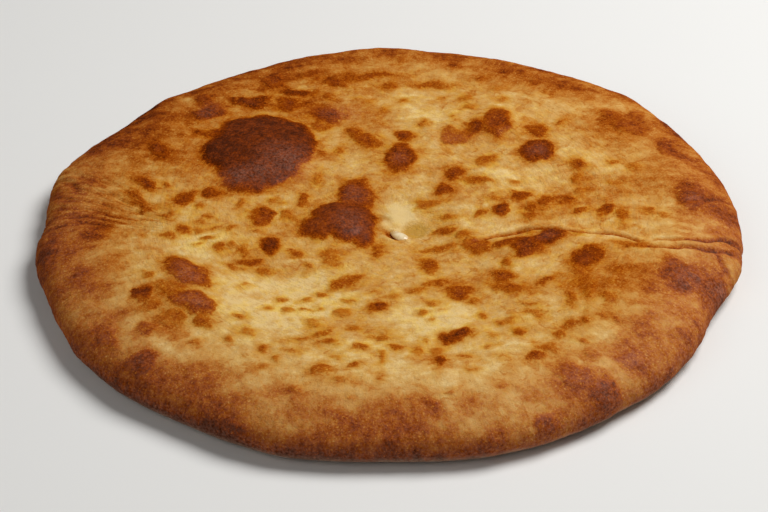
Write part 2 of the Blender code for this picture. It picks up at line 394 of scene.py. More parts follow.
# %% The spots that are placed one by one
SPOTS = {
    # x, y, length, width, turn in degrees, toast
    "large blister": (
        (-52, 49, 43, 44, 0, 0.91), (-54, 34, 34, 34, 0, 0.91), (-66, 43, 24, 26, 0, 0.96),
        (-60, 57, 22, 18, 0, 0.95),
        (-58, 22, 20, 16, 0, 0.84),
    ),
    "second blister": (
        (-18, -4, 26, 28, 0, 0.85), (-28, -10, 16, 17, 0, 0.80), (-13, 13, 13, 22, 0, 0.80),
        (-10, -14, 11, 20, 0, 0.80),
    ),
    "left patches": (
        (-78, -44, 28, 14, -45, 0.75), (-83, -56, 10, 9, 0, 0.62), (-74, -65, 20, 12, -35, 0.75),
        (-70, -75, 8, 8, 0, 0.70), (-94, -57, 9, 9, 0, 0.84), (-91, -64, 10, 6, 0, 0.60),
        (-90, -79, 8, 7, 0, 0.72), (-82, -73, 9, 7, 0, 0.60), (-94, -45, 5, 5, 0, 0.58),
    ),
    "behind the centre": (
        (4, 40, 16, 20, 10, 0.82), (6, 56, 9, 10, 0, 0.79), (-10, 54, 13, 8, -30, 0.74),
        (-14, 60, 7, 7, 0, 0.72), (-28, 71, 12, 10, 0, 0.84), (-28, 45, 4, 4, 0, 0.72),
        (-20, 46, 4, 5, 0, 0.60), (-28, 64, 8, 8, 0, 0.62),
    ),
    "far left": (
        (-40, 89, 14, 6, 0, 0.90), (-58, 82, 16, 11, 0, 0.88), (-50, 98, 8, 12, 0, 0.80),
        (-42, 80, 11, 9, 0, 0.82), (-76, 72, 15, 10, 20, 0.88), (-79, 85, 7, 13, 20, 0.82),
        (-22, 97, 9, 8, 0, 0.78), (-10, 103, 26, 5, 8, 0.76), (-1, 94, 7, 5, 0, 0.7),
        (18, 97, 18, 5, -8, 0.68), (-95, 43, 9, 12, 0, 0.80), (-74, 56, 9, 5, 0, 0.78),
    ),
    "far right": (
        (45, 64, 12, 20, 0, 0.79), (36, 62, 9, 9, 0, 0.82), (28, 56, 14, 11, 0, 0.66),
        (49, 60, 8, 6, 0, 0.78), (61, 60, 6, 10, 0, 0.82), (60, 44, 14, 15, 0, 0.86),
        (39, 38, 9, 6, 20, 0.64), (77, 33, 8, 6, -30, 0.72), (91, 35, 5, 4, 0, 0.62),
        (33, 85, 4, 5, 0, 0.52), (93, 71, 7, 6, 0, 0.74), (101, 63, 10, 16, 20, 0.70),
        (114, 48, 7, 13, 0, 0.72), (120, 70, 6, 20, 30, 0.72), (103, 76, 4, 9, -20, 0.64),
    ),
    "right of the centre": (
        (26, 29, 8, 10, 0, 0.80), (36, 25, 12, 5, -30, 0.68), (22, 18, 7, 8, 0, 0.80),
        (15.5, 8.5, 11, 8, 20, 0.60), (45, 5, 9, 10, 0, 0.83), (36, 2, 5, 5, 0, 0.70),
        (53, 13, 10, 6, 0, 0.83), (58, 4, 5, 8, -20, 0.72), (56, -2, 6, 5, 0, 0.65),
        (64, 8, 5, 7, 0, 0.78), (71, 10, 4, 6, -20, 0.72), (76, 2, 7, 4, 20, 0.79),
        (87, 1, 8, 11, -35, 0.82), (94, -5, 4, 9, 0, 0.70), (24, 0, 6, 4, 0, 0.62),
        (23, -9, 7, 5, 0, 0.72), (121, 9, 11, 14, 0, 0.80), (77, 24, 5, 6, 0, 0.58),
        (77, 16, 5, 5, 0, 0.56), (100, 30, 7, 5, 0, 0.56),
    ),
    "along the fold": (
        (64, -19.5, 13, 12, 0, 0.88), (54, -26.5, 14, 12, -10, 0.83), (44, -22.5, 15, 6, 5, 0.77),
        (59, -22, 9, 8, 0, 0.82),
        (33, -23, 9, 12, 0, 0.66), (95, -27, 11, 4, -10, 0.70), (77, -35, 15, 9, 50, 0.84),
        (73, -44, 6, 14, 10, 0.66), (109, -36, 7, 6, 0, 0.76), (75, -17, 5, 3, 20, 0.62),
        (28, -15, 8, 6, 40, 0.60), (20, -23, 12, 4, 10, 0.64),
    ),
    "near side, right": (
        (16, -37, 6, 9, 20, 0.73), (46, -36, 5, 5, 0, 0.67), (43, -46, 9, 9, 0, 0.74),
        (46, -53, 16, 6, -10, 0.68), (60, -51, 10, 6, 25, 0.70), (26, -54, 13, 10, 0, 0.74),
        (18, -48, 10, 5, 10, 0.72), (11, -53, 5, 5, 0, 0.58), (33, -60, 5, 4, 0, 0.60),
        (68, -60, 4, 10, 0, 0.63), (75, -58, 4, 14, 0, 0.60), (36, -71, 4, 5, 0, 0.62),
        (75, -75, 4, 5, 0, 0.66), (66, -77, 9, 4, 20, 0.72), (48, -82, 6, 6, 0, 0.66),
        (27, -83, 12, 8, 0, 0.85), (62, -83, 4, 5, 0, 0.66), (19, -91, 6, 8, -30, 0.56),
        (19, -100, 5, 9, -25, 0.82), (55, -97, 8, 6, 0, 0.80), (60, -92, 8, 4, -40, 0.68),
        (72, -86, 6, 3, -30, 0.6), (83, -63, 4, 10, 20, 0.62), (90, -93, 8, 7, 0, 0.70),
        (16, -124, 4, 4, 0, 0.62), (10, -93, 4, 7, 0, 0.60), (3, -90, 5, 5, 0, 0.72),
    ),
    "near side, left": (
        (-18, -47, 14, 6, 30, 0.66), (-4, -22, 5, 8, 0, 0.66), (-3, -27, 4, 6, -20, 0.72),
        (-22, -30, 6, 12, 0, 0.58), (-5, -65, 10, 7, 0, 0.80), (-2, -83, 8, 4, 0, 0.62),
        (-11, -91, 5, 4, 0, 0.72), (-4, -97, 3, 6, 0, 0.60), (-14, -103, 5, 5, 0, 0.68),
        (-26, -106, 8, 6, 0, 0.62), (-27, -83, 7, 4, 10, 0.66), (-33, -85, 8, 2, 10, 0.54),
        (-25, -89, 7, 3, 20, 0.66), (-48, -89, 4, 5, 0, 0.64), (-43, -99, 4, 5, 30, 0.56),
        (-56, -73, 6, 4, 0, 0.66), (-42, -59, 4, 5, 0, 0.60), (-34, -58, 4, 3, 0, 0.56),
        (-19, -68, 7, 6, 0, 0.54), (-12, -78, 6, 3, 0, 0.58), (-60, -87, 5, 5, 0, 0.56),
        (-29, -75, 4, 7, 30, 0.50), (-38, -67, 5, 5, 0, 0.50), (-54, -81, 6, 4, 0, 0.5),
    ),
    "left of the centre": (
        (-47, -23, 9, 12, 0, 0.90), (-51, -3, 9, 10, 0, 0.78), (-41, -2, 6, 6, 0, 0.60),
        (-66, -26, 4, 5, 0, 0.72), (-62, -23, 3, 6, -20, 0.64), (-58, -26, 4, 8, 0, 0.66),
        (-55, -34, 8, 5, 35, 0.80), (-49, -39, 8, 4, -15, 0.62), (-61, -38, 6, 3, -30, 0.58),
        (-36, -26, 5, 7, 0, 0.66), (-71, -17, 4, 4, 0, 0.66), (-81, -13.5, 7, 6, -20, 0.72),
        (-87.5, -17, 6, 4, -20, 0.70), (-76, -12, 3, 3, 0, 0.58), (-76, -7, 3, 3, 0, 0.54),
        (-87, -4, 4, 6, 20, 0.62), (-72, 14, 10, 5.5, 0, 0.84), (-84, 9, 14, 6, 48, 0.80),
        (-97, 3, 6, 3, 0, 0.72), (-75, 4, 4, 3, 0, 0.62), (-101, 8.5, 15, 5, -48, 0.72),
        (-100, 20, 15, 7, -44, 0.80), (-35, 10, 5, 9, 0, 0.76), (-59, 6, 3, 7, 0, 0.64),
        (-90, 19, 4, 5, 0, 0.66), (-116, -14, 10, 6, 0, 0.66), (-30, 25, 5, 9, 0, 0.56),
    ),
    "charred on the rim": (
        (79, -113, 9, 12, -40, 0.84), (69, -106, 16, 9, -20, 0.70), (57, -127, 12, 6, 25, 0.78),
        (-93, -97, 14, 10, -45, 0.80), (-58, -128, 12, 6, -25, 0.87), (128, -46, 9, 13, -25, 0.84),
        (-106, -80, 12, 8, -50, 0.70), (35, -136, 12, 4, 15, 0.8), (114, -46, 14, 12, 0, 0.68),
        (-134, -22, 6, 16, 0, 0.86),
    ),
}
print(sum(len(spots) for spots in SPOTS.values()), "spots placed by hand")

# %% Small freckles scattered between them
FRECKLE_ZONES = (
    # x, y, length, width, turn, how many
    (14, -84, 150, 80, 5, 70),
    (60, 8, 110, 70, 0, 40),
    (-66, -10, 90, 60, -20, 36),
    (0, 84, 170, 70, 0, 60),
    (70, -60, 100, 70, 0, 40),
    (-45, -64, 80, 70, 0, 30),
)
FRECKLE_GAP = 1.8  # mm at least between a freckle and the next spot
draw = np.random.default_rng(5)
taken = [(spot[0], spot[1], max(spot[2:4]) / 2) for spots in SPOTS.values() for spot in spots]
taken.append((4, 2, 10))  # the pale dough by the vent has no freckles
freckles = []
for zone_x, zone_y, length, width, turn, count in FRECKLE_ZONES:
    for _ in range(count):
        spin, out = draw.uniform(0, 2 * math.pi), math.sqrt(draw.uniform())
        along, across = out * math.cos(spin) * length / 2, out * math.sin(spin) * width / 2
        cos, sin = math.cos(math.radians(turn)), math.sin(math.radians(turn))
        there = (zone_x + along * cos - across * sin, zone_y + along * sin + across * cos)
        size = 2.2 + 3.0 * draw.uniform() ** 2
        slim, lean, dark = draw.uniform(0.5, 1.0), draw.uniform(-20, 25), draw.uniform(0.50, 0.72)
        if all(math.dist(there, spot[:2]) > spot[2] + size / 2 + FRECKLE_GAP for spot in taken):
            freckles.append((*there, size, size * slim, lean, dark))
            taken.append((*there, size / 2))
SPOTS["freckles"] = tuple(freckles)
print(len(freckles), "freckles scattered")

# %% How deep inside a spot each corner lies, and how dark that spot is
SPOT_BLUR = 1.2  # mm over which spots that touch run together
OUTSIDE = -4.0  # mm, as far out as the field is kept
HALO_TOAST = 0.22  # what many neighbouring spots add to the dough between them
spot_depth = np.full(len(skin), OUTSIDE)
share = np.full(len(skin), 1e-6)
spot_toast = 0.6 * share
halo = np.zeros(len(skin))
for group, spots in SPOTS.items():
    stray = 0.6 if group == "large blister" else 1.0
    spot_x, spot_y = x + stray * wander[:, 0], y + stray * wander[:, 1]
    for *oval, dark in spots:
        depth = inside(spot_x, spot_y, oval)
        weight = np.exp(np.clip(depth, OUTSIDE, 12) / SPOT_BLUR) * (depth > OUTSIDE)
        share += weight
        spot_toast += weight * dark
        spot_depth = np.maximum(spot_depth, depth)
        halo_width = 1.0 + 0.12 * min(oval[2], oval[3])
        halo += dark * np.exp(np.minimum(depth, 0) / halo_width)
spot_toast /= share
toast += HALO_TOAST * (1 - np.exp(-1.2 * halo))
upper_side = smooth_step(z, 5, 9)
spot_depth = OUTSIDE + (np.clip(spot_depth, OUTSIDE, 6) - OUTSIDE) * upper_side
print("browned by spots:", round(100 * float((spot_depth > 0).mean())), "% of the corners")

# %% [markdown]
# ## Relief that is larger than a grain
# A bump that is only in the material vanishes at the outline and in a printed or exported mesh, so
# whatever is wider than about a millimetre is real relief. A Displace modifier pushes the skin along
# its normals, and a vertex group says by how much at each corner, as weight painting would. Two cloud
# textures come first, for the lumps of cheese and dough that press up from inside.

# %% Helpers that turn a field into a weight, and a weight into relief
def weigh(piece, name, weights):
    """Keeps a field as a vertex group, from 0 to 1."""
    group = piece.vertex_groups.new(name=name)
    for index in np.flatnonzero(weights > 0.004):
        group.add([int(index)], float(min(weights[index], 1)), "REPLACE")
    return name


def push(piece, height, weights, name, direction="NORMAL"):
    """Raises the skin (or presses it in, if height is negative) where the field is above 0."""
    group = weigh(piece, name, weights)
    modify(piece, "DISPLACE", strength=height, mid_level=0, vertex_group=group, direction=direction)
    piece.vertex_groups.remove(piece.vertex_groups[group])


def push_clouds(piece, size, height, weights, name):
    """Uneven lumps of this size, up to half the height above and below the skin."""
    clouds = bpy.data.textures.new(name, "CLOUDS")
    clouds.noise_scale = size
    clouds.noise_depth = 1
    group = weigh(piece, name, weights)
    modify(piece, "DISPLACE", texture=clouds, texture_coords="LOCAL", strength=height,
           mid_level=0.5, vertex_group=group)
    piece.vertex_groups.remove(piece.vertex_groups[group])


# %% Lumps, blisters and freckles
above_base = smooth_step(z, 1, 4)
push_clouds(crust, 17 * MM, 1.3 * MM, above_base, "dough_lumps")
push_clouds(crust, 5.5 * MM, 0.55 * MM, above_base, "cheese_lumps")

large = np.zeros(len(skin))
for *oval, dark in SPOTS["large blister"] + SPOTS["second blister"]:
    calm_x, calm_y = x + 0.45 * wander[:, 0], y + 0.45 * wander[:, 1]
    large = np.maximum(large, smooth_step(inside(calm_x, calm_y, oval), -0.5, 6))
push(crust, 0.9 * MM, large, "blister_domes")
puffs = smooth_step(spot_depth, -0.6, 1.8) * (1 - large)
push(crust, 0.35 * MM, puffs, "freckle_puffs")
print("relief so far:", [round(v / MM, 1) for v in crust.dimensions], "mm")

# %% [markdown]
# ## The steam vent
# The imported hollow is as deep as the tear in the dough, but melted cheese fills it nearly to the
# brim. So most of the hollow is lifted here, and the dough round it is soaked with butter and cheese.
# Two fields keep where it is soaked and where it stayed pale.

# %% A shallow hollow, and the soaked and pale dough round it
vent_low, vent_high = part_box("vent_cheese")
vent = (vent_low + vent_high) / 2 / MM
HOLLOW_LIFT = 0.62  # how much of the hollow's depth is filled
from_vent = np.hypot(x - vent.x, y - vent.y)
brim = float(np.median(z[(from_vent > 9) & (from_vent < 11) & (upper_side > 0.9)]))
sunk = np.clip(brim - z, 0, 6) * smooth_step(from_vent, 11, 8) * upper_side
push(crust, 6 * MM, HOLLOW_LIFT * sunk / 6, "hollow_lift", direction="Z")
calm_x, calm_y = x + 0.4 * wander[:, 0], y + 0.4 * wander[:, 1]
soaked = smooth_step(inside(calm_x, calm_y, (vent.x, vent.y + 0.7, 11, 13, 0)), -1.5, 3.5)
pale = smooth_step(inside(calm_x, calm_y, (vent.x - 6, vent.y + 10, 11, 18, 0)), -2, 4)
lobe = inside(calm_x, calm_y, (vent.x - 11, vent.y + 3, 5, 9, 35))
pale = np.maximum(pale, 0.75 * smooth_step(lobe, -1.5, 2.5))
print("brim of the vent at", round(brim, 1), "mm")

# %% [markdown]
# ## Wrinkles
# On the left the dough was pulled in from the edge, so thin wrinkles fan out there from a point near
# the centre. They could be drawn one by one, but a fan is what repeats: the angle round its point
# makes the wrinkles, with noise to break them up.

# %% The fan of wrinkles on the left
FAN = (-66, -20)
fan_angle = np.arctan2(y - FAN[1], -(x - FAN[0]))
fan_reach = np.hypot(x - FAN[0], y - FAN[1])
in_fan = smooth_step(fan_angle, 0.08, 0.24) * (1 - smooth_step(fan_angle, 0.55, 0.90))
in_fan *= smooth_step(fan_reach, 14, 34) * upper_side
ripple = np.sin(fan_angle * 66 + 4.0 * lumps(skin, 14, 5)[:, 0] + 1.2 * lumps(skin, 5, 6)[:, 0])
broken = smooth_step(lumps(skin, 9, 7)[:, 1], -0.35, 0.35)
wrinkles = in_fan * smooth_step(ripple, -0.2, 0.9) * (0.35 + 0.65 * broken)
wrinkles *= smooth_step(fan_reach, 26, 40)
push(crust, -0.7 * MM, wrinkles, "wrinkles")

print("corners in the fan:", int((in_fan > 0.5).sum()))

# %% [markdown]
# ## The fold and the creases
# Right of the centre the dough was gathered: one side lies piled against the other, along a line that
# bows away from the camera and then runs out in creases over the right edge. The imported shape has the
# pile. Each line is now cut into the skin as a furrow between two low ridges, through a few places
# that it passes, which are quicker to move than a sculpted stroke.

# %% The line of the fold, and the creases
CREASES = (
    # how wide, how deep (0 to 1), and the places that it runs through
    (1.1, 1.0, ((30, -21), (37, -18.5), (43, -15.5), (52, -12), (57, -11.2), (62, -12), (66, -13.2),
                (71, -14.8), (76, -16), (82, -16), (87, -16), (91, -17), (94, -20), (100, -25.5))),
    (1.2, 0.9, ((97, -28), (109, -28), (115, -26), (123, -27), (128, -26), (137, -23))),
    (1.2, 0.9, ((102, -21), (115, -21), (122, -20), (126, -19), (131, -16), (140, -14))),
    (1.3, 0.5, ((124, -25), (128, -28), (131, -33), (133, -39))),
    (1.3, 0.5, ((112, 4), (126, 8), (138, 16))),
    (1.2, 1.0, ((vent.x - 13.2, vent.y), (vent.x - 9.7, vent.y - 3.8), (vent.x - 5.2, vent.y - 8.8))),
    (1.2, 0.2, ((-50, -33), (-30, -30), (-14, -24))),
    (1.3, 0.2, ((-34, -56), (-10, -50), (12, -40))),
)


def nearest_on(places):
    """How far each corner is from a line through these places, and how far from its two ends."""
    nearest = np.full(len(skin), 99.0)
    for (start_x, start_y), (end_x, end_y) in zip(places, places[1:]):
        run = Vector((end_x - start_x, end_y - start_y))
        along = ((x - start_x) * run.x + (y - start_y) * run.y) / run.length_squared
        along = np.clip(along, 0, 1)
        from_line = np.hypot(x - start_x - along * run.x, y - start_y - along * run.y)
        nearest = np.minimum(nearest, from_line)
    first, last = (np.hypot(x - px, y - py) for px, py in (places[0], places[-1]))
    return nearest + 0.4 * wander[:, 2], np.minimum(first, last)


creases, ridges = np.zeros(len(skin)), np.zeros(len(skin))
for width, deep, places in CREASES:
    nearest, from_ends = nearest_on(places)
    deep *= smooth_step(from_ends, 0, 5) * upper_side
    creases = np.maximum(creases, deep * np.exp(-((nearest / width) ** 2)))
    ridges = np.maximum(ridges, deep * np.exp(-(((nearest - 2.2 * width) / width) ** 2)))
ridges *= 1 - creases
push(crust, -1.2 * MM, creases, "creases")
push(crust, 0.35 * MM, ridges, "ridges")
print(len(CREASES), "creases")

# %% [markdown]
# ## A painted sheen on the dark skin, and flour on the rim
# Where the skin is browned it takes a faint rosy haze. On the blisters and dark spots this is painted
# sheen: the soft reflection of the light, laid into the colour. On the rim it is partly painted sheen
# and partly fine flour baked into the crust. It is a field too, and the material lays a pale colour
# over the crust by that much.

# %% How strong the painted sheen and the flour are
SHEEN_PATCHES = (
    # x, y, length, width, turn, how strong
    (-42, 36, 34, 38, 0, 0.11),
    (-52, 27, 34, 22, 0, 0.10),
    (-60, 24, 24, 18, 0, 0.13),
    (-16, -8, 24, 20, 0, 0.06),
    (-13, 14, 12, 14, 0, 0.07),
    (62, -20, 14, 9, 0, 0.05),
    (60, 43, 12, 11, 0, 0.06),
    (3, 38, 12, 14, 0, 0.06),
    (27, 54, 40, 18, 0, 0.05),
    (-78, -46, 26, 18, -45, 0.09),
    (-74, -65, 20, 14, -30, 0.09),
    (80, -112, 20, 18, -40, 0.11),
    (57, -127, 16, 12, 25, 0.10),
    (122, 9, 14, 14, 0, 0.07),
    (-76, 74, 20, 22, 0, 0.06),
    (-20, 74, 34, 18, 0, 0.07),
    (128, -45, 20, 22, -25, 0.17),
)
# The rim takes this haze too, most on its front and right: partly painted sheen, partly flour. Each
# patch listed above is painted sheen on a dark spot.
faces_front = smooth_step(-np.sin(np.radians(bearing)), -0.7, 0.1)
sheen_and_flour = (0.06 + 0.04 * right_side) * smooth_step(reach, 0.76, 0.92) * (0.2 + 0.8 * faces_front)
sheen_and_flour += 0.09 * skirt * faces_front
for *oval, strong in SHEEN_PATCHES:
    sheen_and_flour = np.maximum(sheen_and_flour, strong * soft_oval(warped_x, warped_y, oval))
print("bloom:", round(float(sheen_and_flour.max()), 2), "at most")

# %% [markdown]
# ## Keeping the fields on the mesh
# The material reads the fields by name, as attributes of the mesh. They stay with the corners when
# the bread moves.

# %% The fields become attributes
def keep(piece, name, values):
    """Stores one number for each corner under a name that a material can read."""
    made = piece.data.attributes.new(name, "FLOAT", "POINT")
    made.data.foreach_set("value", values.astype(np.float32))


# The creases and the wrinkle furrows are darkened and the ridges beside the creases lightened: painted
# shade in the furrows and a painted highlight on the ridges. The pale dough by the vent is its own
# colour.
browned = toast + 0.46 * creases - 0.06 * ridges + 0.14 * wrinkles - 0.2 * pale
keep(crust, "toast", np.clip(browned, 0, 1))
keep(crust, "wrinkle", in_fan)
keep(crust, "spot_depth", spot_depth)
keep(crust, "spot_toast", spot_toast)
keep(crust, "sheen_and_flour", sheen_and_flour)
keep(crust, "soaked", soaked * upper_side)
keep(crust, "pale", pale * upper_side)
keep(crust, "blister", large)
pick(crust)
bpy.ops.object.shade_smooth()
print("attributes:", [a.name for a in crust.data.attributes if a.name in ("toast", "spot_depth")])

# %% [markdown]
# ## Materials: helpers first
# A material is a small network of nodes. The helper below adds one node and joins its inputs in one
# call, so that each line of a recipe reads like a line of a recipe. Coordinates are turned into
# millimetres once, so that the size of every grain is written as it would be measured.

# %% Adding a node, and the few sums that recipes use
def put(tree, kind, inputs=None, **settings):
    """Adds a node. inputs gives each socket a value, or the output that feeds it."""
    made = tree.nodes.new("ShaderNode" + kind)
    for name, value in settings.items():
        setattr(made, name, value)
    for socket, value in (inputs or {}).items():
        if isinstance(value, bpy.types.NodeSocket):
            tree.links.new(value, made.inputs[socket])
        else:
            made.inputs[socket].default_value = value
    return made


def sum_of(tree, operation, first, second, third=0.0):
    """One Math node: ADD, MULTIPLY, MULTIPLY_ADD and so on."""
    return put(tree, "Math", {0: first, 1: second, 2: third}, operation=operation).outputs[0]


def between(tree, value, low, high, to_low=0.0, to_high=1.0):
    """A soft rise from to_low, where the value is low, to to_high, where it is high."""
    steps = {"Value": value, "From Min": low, "From Max": high, "To Min": to_low, "To Max": to_high}
    return put(tree, "MapRange", steps, interpolation_type="SMOOTHSTEP").outputs[0]


def blend_colour(tree, factor, first, second):
    """Mixes two colours."""
    made = put(tree, "Mix", {0: factor, 6: first, 7: second}, data_type="RGBA")
    return made.outputs[2]


def speckle(tree, place, size, detail=2.0, rough=0.5, swirl=0.0):
    """Noise with grains of this size in millimetres. About 0.5 on average."""
    inputs = {"Vector": place, "Scale": 1 / size, "Detail": detail, "Roughness": rough}
    inputs["Distortion"] = swirl
    return put(tree, "TexNoise", inputs).outputs[0]


def field(tree, name):
    """One of the mesh's own fields."""
    return put(tree, "Attribute", attribute_name=name).outputs["Fac"]


def millimetres(tree):
    """Where the point is, in millimetres."""
    place = put(tree, "TexCoord").outputs["Object"]
    return put(tree, "VectorMath", {0: place, "Scale": 1 / MM}, operation="SCALE").outputs[0]


def linear(red, green, blue):
    """A colour as it is picked on a screen, 0 to 255, in the linear values that nodes use."""
    def one(value):
        value /= 255
        return value / 12.92 if value <= 0.04045 else ((value + 0.055) / 1.055) ** 2.4
    return (one(red), one(green), one(blue), 1)


def new_group(name, inputs, outputs):
    """A node group with named float inputs, and outputs given as {name: socket type}."""
    tree = bpy.data.node_groups.new(name, "ShaderNodeTree")
    for socket in inputs:
        kind = "NodeSocketVector" if socket == "Place" else "NodeSocketFloat"
        tree.interface.new_socket(socket, in_out="INPUT", socket_type=kind)
    for socket, kind in outputs.items():
        tree.interface.new_socket(socket, in_out="OUTPUT", socket_type=kind)
    return tree, tree.nodes.new("NodeGroupInput"), tree.nodes.new("NodeGroupOutput")


def use_group(tree, group, inputs):
    """Puts a node group into a material."""
    made = tree.nodes.new("ShaderNodeGroup")
    made.node_tree = group
    for socket, value in inputs.items():
        if isinstance(value, bpy.types.NodeSocket):
            tree.links.new(value, made.inputs[socket])
        else:
            made.inputs[socket].default_value = value
    return made


print("helpers ready")

# %% [markdown]
# ## Three effects that the crusts share
# The top and the base are baked from one dough, so they share their recipes: how the colour changes
# from cream to char as the toast rises, the fine grain of the skin, and the flour that clings to the
# lower edge. Each is a node group, built once.

# %% From cream to char
TOAST_COLOURS = (
    # toast, and the colour as picked on a screen
    (0.00, (224, 190, 128)),
    (0.12, (210, 166, 99)),
    (0.25, (200, 146, 76)),
    (0.38, (190, 128, 58)),
    (0.50, (177, 104, 35)),
    (0.62, (159, 81, 17)),
    (0.74, (138, 61, 9)),
    (0.84, (113, 46, 7)),
    (0.92, (92, 36, 5)),
    (1.00, (68, 25, 4)),
)
toast_colour, given, result = new_group("toast_colour", ["Toast"], {"Color": "NodeSocketColor"})
ramp = put(toast_colour, "ValToRGB", {"Fac": given.outputs["Toast"]})
stops = ramp.color_ramp.elements
stops[0].position, stops[0].color = TOAST_COLOURS[0][0], linear(*TOAST_COLOURS[0][1])
stops[1].position, stops[1].color = TOAST_COLOURS[-1][0], linear(*TOAST_COLOURS[-1][1])
for level, picked in TOAST_COLOURS[1:-1]:
    stops.new(level).color = linear(*picked)
toast_colour.links.new(ramp.outputs["Color"], result.inputs["Color"])
print(len(stops), "steps from cream to char")

# %% The grain of the skin: uneven browning, and a fine roughness
skin_grain, given, result = new_group(
    "skin_grain", ["Place"],
    {"Mottle": "NodeSocketFloat", "Grain": "NodeSocketFloat", "Height": "NodeSocketFloat"})
place = given.outputs["Place"]
mottle = sum_of(skin_grain, "MULTIPLY_ADD", speckle(skin_grain, place, 3.2, 3), 0.38, -0.19)
grain = sum_of(skin_grain, "MULTIPLY_ADD", speckle(skin_grain, place, 0.9, 2, 0.7), 1.0, -0.5)
rough = sum_of(skin_grain, "MULTIPLY", speckle(skin_grain, place, 0.6, 3, 0.6), 0.5)
soft = sum_of(skin_grain, "MULTIPLY", speckle(skin_grain, place, 2.0, 2), 0.8)
skin_grain.links.new(mottle, result.inputs["Mottle"])
skin_grain.links.new(grain, result.inputs["Grain"])
skin_grain.links.new(sum_of(skin_grain, "ADD", rough, soft), result.inputs["Height"])
print("skin grain ready")

# %% Flour that clings low on the edge
flour, given, result = new_group(
    "flour_dust", ["Place", "Height", "Amount"], {"Mask": "NodeSocketFloat"})
place = given.outputs["Place"]
patchy = between(flour, speckle(flour, place, 9, 3), 0.30, 0.70)
fine = between(flour, speckle(flour, place, 0.9, 2, 0.6), 0.30, 0.70)
low_down = between(flour, given.outputs["Height"], 1.0, 6.5, 1.6, 0.0)
dusty = sum_of(flour, "MULTIPLY", low_down, sum_of(flour, "MULTIPLY_ADD", patchy, 0.5, 0.5))
dusty = sum_of(flour, "MULTIPLY", dusty, sum_of(flour, "MULTIPLY_ADD", fine, 0.6, 0.4))
flour.links.new(sum_of(flour, "MULTIPLY", dusty, given.outputs["Amount"]), result.inputs["Mask"])
print("flour ready")

# %% [markdown]
# ## The top crust
# The top is dry and satin. Its colour follows the toast field, then the spots: noise finer than the
# mesh frays the outline of each spot, and the middle of a spot is darker than its edge. The blisters
# are smoother and a little glossy, because the skin there is stretched and glazed by the heat.

# %% The top crust's recipe
FLOUR_COLOUR = linear(176, 150, 128)
SHEEN_AND_FLOUR_COLOUR = linear(205, 150, 128)
SOAKED_COLOUR = linear(188, 139, 54)
PALE_COLOUR = linear(224, 193, 134)

top = bpy.data.materials.new("top_crust")
top.use_nodes = True
tree = top.node_tree
shader = tree.nodes["Principled BSDF"]
place = millimetres(tree)
height = put(tree, "SeparateXYZ", {0: place}).outputs["Z"]
grained = use_group(tree, skin_grain, {"Place": place})
blister = field(tree, "blister")

frayed = sum_of(tree, "MULTIPLY_ADD", speckle(tree, place, 2.6, 3, 0.6, 0.8), 3.0, -1.5)
frayed = sum_of(tree, "ADD", field(tree, "spot_depth"), frayed)
spot = between(tree, frayed, -0.8, 0.8, 0.0, 0.60)
spot = sum_of(tree, "ADD", spot, between(tree, frayed, 0.0, 2.6, 0.0, 0.24))
spot = sum_of(tree, "ADD", spot, between(tree, frayed, -3.0, -0.3, 0.0, 0.16))
plain = sum_of(tree, "ADD", field(tree, "toast"), grained.outputs["Mottle"])
readiness = sum_of(tree, "MULTIPLY_ADD", field(tree, "toast"), 0.9, -0.27)
for size, amount in ((7.5, 0.50), (4.2, 0.55), (2.4, 0.35)):
    tendency = sum_of(tree, "ADD", speckle(tree, place, size, 2, 0.5, 1.0), readiness)
    browner = sum_of(tree, "MAXIMUM", sum_of(tree, "ADD", plain, 0.08), 0.50)
    share = between(tree, tendency, 0.53, 0.62, 0.0, amount)
    plain = put(tree, "Mix", {0: share, 2: plain, 3: browner}, data_type="FLOAT").outputs[0]
darker = sum_of(tree, "ADD", field(tree, "spot_toast"), grained.outputs["Mottle"])
darker = sum_of(tree, "MAXIMUM", plain, darker)
spotted = put(tree, "Mix", {0: spot, 2: plain, 3: darker}, data_type="FLOAT").outputs[0]
flat = put(tree, "VectorMath", {0: place, 1: (1, 1, 0)}, operation="MULTIPLY").outputs[0]
outward = put(tree, "VectorMath", {0: flat}, operation="NORMALIZE").outputs[0]
away = put(tree, "VectorMath", {0: flat}, operation="LENGTH").outputs["Value"]
around = put(tree, "VectorMath", {0: outward, "Scale": 110.0}, operation="SCALE").outputs[0]
drawn = put(tree, "CombineXYZ", {"Z": sum_of(tree, "MULTIPLY", away, 0.3)}).outputs[0]
drawn = put(tree, "VectorMath", {0: around, 1: drawn}, operation="ADD").outputs[0]
streak = sum_of(tree, "MULTIPLY_ADD", speckle(tree, drawn, 2.4, 3, 0.6), 1.0, -0.5)
streak = sum_of(tree, "MULTIPLY", streak, between(tree, away, 75, 120))
circled = put(tree, "CombineXYZ", {"Z": away}).outputs[0]
wide = put(tree, "VectorMath", {0: outward, "Scale": 24.0}, operation="SCALE").outputs[0]
circled = put(tree, "VectorMath", {0: wide, 1: circled}, operation="ADD").outputs[0]
ripple = sum_of(tree, "SUBTRACT", speckle(tree, circled, 1.6, 3, 0.6), 0.5)
ripple = sum_of(tree, "MULTIPLY", ripple, between(tree, away, 95, 125, 1.0, 0.2))
browned = between(tree, spotted, 0.25, 0.65, 0.35, 1.0)
fine = sum_of(tree, "MULTIPLY_ADD", streak, 0.7, grained.outputs["Grain"])
fine = sum_of(tree, "MULTIPLY", fine, browned)
